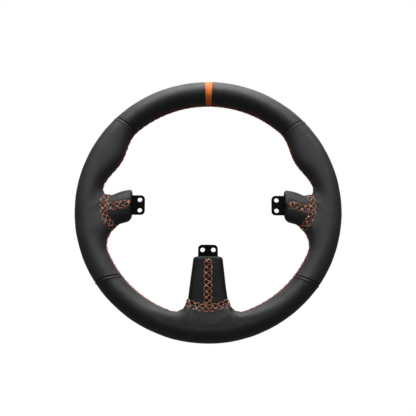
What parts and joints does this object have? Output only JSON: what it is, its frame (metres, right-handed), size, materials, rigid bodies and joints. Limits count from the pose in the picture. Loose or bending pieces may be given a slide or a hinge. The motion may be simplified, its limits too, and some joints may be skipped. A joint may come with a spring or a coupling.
{
  "type": "racing wheel rim",
  "caption": "Round leather-wrapped simulator wheel rim with thumb rests, short stitched spokes and drilled steel tabs that bolt to a hub.",
  "frame": {"origin": "centre of the ring, on its middle plane", "axes": "+Y along the wheel's axis, away from the driver; +Z to the centre stripe at 12 o'clock; +X to the driver's right"},
  "size_m": [0.3, 0.03, 0.3],
  "materials": {
    "rim_leather": "smooth black leather, satin",
    "sleeve_leather": "smooth black leather, matt satin",
    "stripe_leather": "orange leather, satin",
    "thread": "waxed orange-red thread",
    "tab_steel": "black powder coat",
    "hoop_steel": "bare steel",
    "foam": "moulded polyurethane foam"
  },
  "bodies": {
    "root": {"top_left_leather": "rim_leather", "top_right_leather": "rim_leather", "left_grip_leather": "rim_leather", "right_grip_leather": "rim_leather", "bottom_leather": "rim_leather", "left_spoke_sleeve": "sleeve_leather", "right_spoke_sleeve": "sleeve_leather", "bottom_spoke_sleeve": "sleeve_leather", "centre_stripe": "stripe_leather", "top_lacing": "thread", "lower_left_lacing": "thread", "lower_right_lacing": "thread", "left_base_stitching": "thread", "right_base_stitching": "thread", "bottom_base_stitching": "thread", "left_centre_stitching": "thread", "right_centre_stitching": "thread", "bottom_centre_stitching": "thread", "left_spoke_plate": "tab_steel", "right_spoke_plate": "tab_steel", "bottom_spoke_plate": "tab_steel", "rim_hoop": "hoop_steel", "spoke_welds": "hoop_steel", "foam_core": "foam"}
  },
  "joints": []
}
